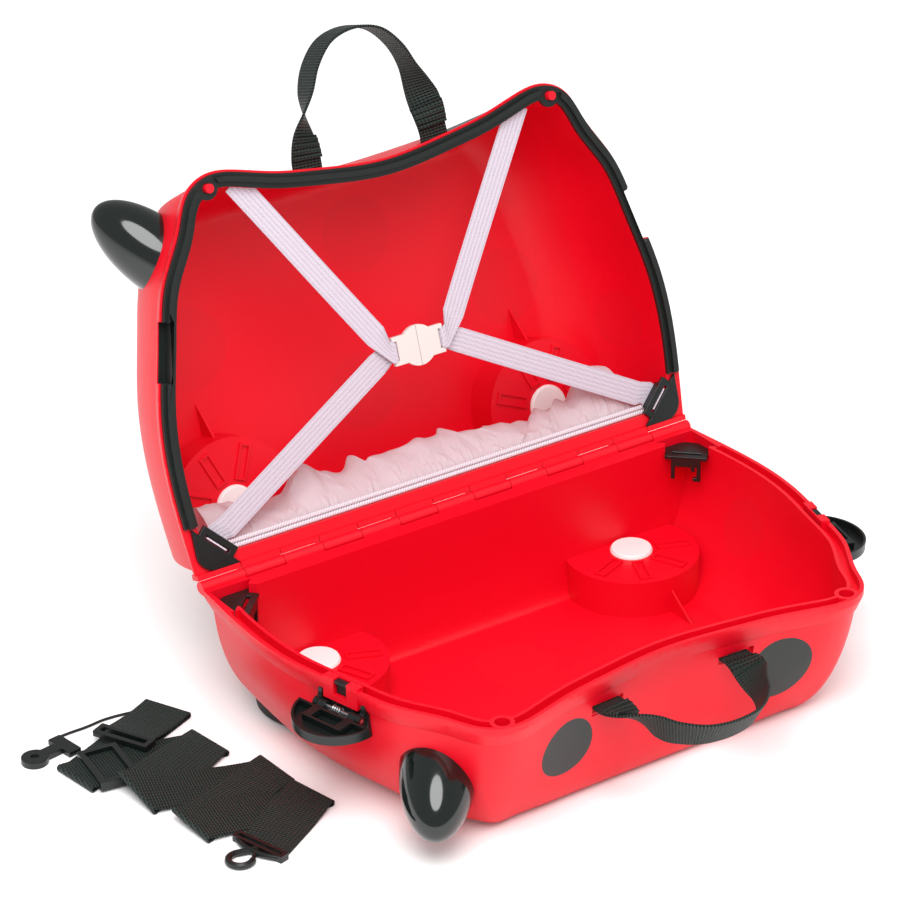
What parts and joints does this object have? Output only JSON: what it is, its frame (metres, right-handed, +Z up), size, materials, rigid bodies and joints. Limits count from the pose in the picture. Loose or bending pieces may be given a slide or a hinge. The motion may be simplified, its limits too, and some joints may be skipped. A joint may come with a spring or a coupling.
{
  "type": "ride on suitcase",
  "caption": "Hard-shell child's suitcase to sit and ride on, shown open: two hinged shells on wheels with horn grips, latches, carry handles, packing straps and a loose tow strap.",
  "frame": {"origin": "on the floor, at the middle of the flat side panel that the open base lies on", "axes": "+X along the hinge towards the rear end, +Y towards the hinge and the lid, +Z up"},
  "size_m": [0.6133, 0.5169, 0.4473],
  "materials": {
    "red_shell": "satin",
    "seal_rubber": "matte",
    "horn_plastic": "glossy",
    "black_plastic": "satin",
    "hub_plastic": "satin",
    "tyre": "matte",
    "white_plastic": "glossy",
    "ivory_plastic": "glossy",
    "steel": "satin",
    "black_webbing": "woven",
    "strap_elastic": "woven",
    "pocket_cloth": "woven",
    "hem_elastic": "corded",
    "key_cord": "braided"
  },
  "bodies": {
    "base": {"base_shell": "red_shell", "hinge_pin": "steel", "base_horn": "horn_plastic", "base_front_axle": "steel", "base_front_axle_cap": "white_plastic", "base_front_corner": "black_plastic", "front_latch_mount": "black_plastic", "front_latch_keeper": "black_plastic", "front_latch_pin": "steel", "front_latch_spring": "steel", "base_rear_axle": "steel", "base_rear_axle_cap": "white_plastic", "base_rear_corner": "black_plastic", "rear_latch_mount": "black_plastic", "rear_latch_keeper": "black_plastic", "rear_latch_pin": "steel", "rear_latch_spring": "steel"},
    "lid": {"lid_shell": "red_shell", "lid_seal": "seal_rubber", "lid_horn": "horn_plastic", "lid_pocket": "pocket_cloth", "pocket_elastic": "hem_elastic", "lid_front_axle": "steel", "lid_front_axle_cap": "white_plastic", "lid_front_corner": "black_plastic", "front_buckle_half": "ivory_plastic", "front_upper_strap": "strap_elastic", "front_lower_strap": "strap_elastic", "lid_rear_axle": "steel", "lid_rear_axle_cap": "white_plastic", "lid_rear_corner": "black_plastic", "rear_buckle_half": "ivory_plastic", "rear_upper_strap": "strap_elastic", "rear_lower_strap": "strap_elastic"},
    "base_front_wheel": {"base_front_hub": "hub_plastic", "base_front_tyre": "tyre"},
    "base_rear_wheel": {"base_rear_hub": "hub_plastic", "base_rear_tyre": "tyre"},
    "lid_front_wheel": {"lid_front_hub": "hub_plastic", "lid_front_tyre": "tyre"},
    "lid_rear_wheel": {"lid_rear_hub": "hub_plastic", "lid_rear_tyre": "tyre"},
    "front_latch": {"front_latch_lever": "black_plastic"},
    "rear_latch": {"rear_latch_lever": "black_plastic"},
    "base_handle": {"base_handle": "black_webbing"},
    "lid_handle": {"lid_handle": "black_webbing"},
    "tow_strap": {"tow_webbing": "black_webbing", "tow_ring": "black_plastic", "tow_slider": "black_plastic", "tow_hook": "black_plastic", "key_grip": "black_plastic", "key_tab": "black_plastic", "key_cord": "key_cord"},
    "hook_gate": {"tow_hook_gate": "steel"}
  },
  "joints": [
    {"name": "lid_hinge", "type": "hinge", "parent": "base", "child": "lid", "pos_m": [0, 0.144, 0.105], "axis": [1, 0, 0], "range_deg": [0, 107.5]},
    {"name": "base_front_wheel_spin", "type": "hinge", "parent": "base", "child": "base_front_wheel", "pos_m": [-0.143, 0.112, 0.015], "axis": [0, 0, 1], "continuous": true},
    {"name": "lid_front_wheel_spin", "type": "hinge", "parent": "lid", "child": "lid_front_wheel", "pos_m": [-0.143, 0.23945, 0.10846], "axis": [0, 0.9537, -0.3007], "continuous": true},
    {"name": "base_rear_wheel_spin", "type": "hinge", "parent": "base", "child": "base_rear_wheel", "pos_m": [0.143, 0.112, 0.015], "axis": [0, 0, 1], "continuous": true},
    {"name": "lid_rear_wheel_spin", "type": "hinge", "parent": "lid", "child": "lid_rear_wheel", "pos_m": [0.143, 0.23945, 0.10846], "axis": [0, 0.9537, -0.3007], "continuous": true},
    {"name": "front_latch_swing", "type": "hinge", "parent": "base", "child": "front_latch", "pos_m": [-0.2143, -0.02959, 0.085], "axis": [-0.2439, 0.9698, 0], "range_deg": [0, 94]},
    {"name": "rear_latch_swing", "type": "hinge", "parent": "base", "child": "rear_latch", "pos_m": [0.2143, -0.02959, 0.085], "axis": [-0.2439, -0.9698, 0], "range_deg": [0, 94]},
    {"name": "base_handle_swing", "type": "hinge", "parent": "base", "child": "base_handle", "pos_m": [0.004, -0.11846, 0.078], "axis": [1, 0, 0], "range_deg": [-25, 25]},
    {"name": "lid_handle_swing", "type": "hinge", "parent": "lid", "child": "lid_handle", "pos_m": [0.004, 0.24868, 0.3472], "axis": [1, 0, 0], "range_deg": [-25, 25]},
    {"name": "tow_strap_lift", "type": "slide", "parent": "base", "child": "tow_strap", "axis": [0, 0, 1], "range_m": [0, 0.03]},
    {"name": "hook_gate_swing", "type": "hinge", "parent": "tow_strap", "child": "hook_gate", "pos_m": [-0.29144, -0.03863, 0.0026], "axis": [0, 0, -1], "range_deg": [0, 20], "stiffness_Nm_per_rad": 0.02}
  ]
}
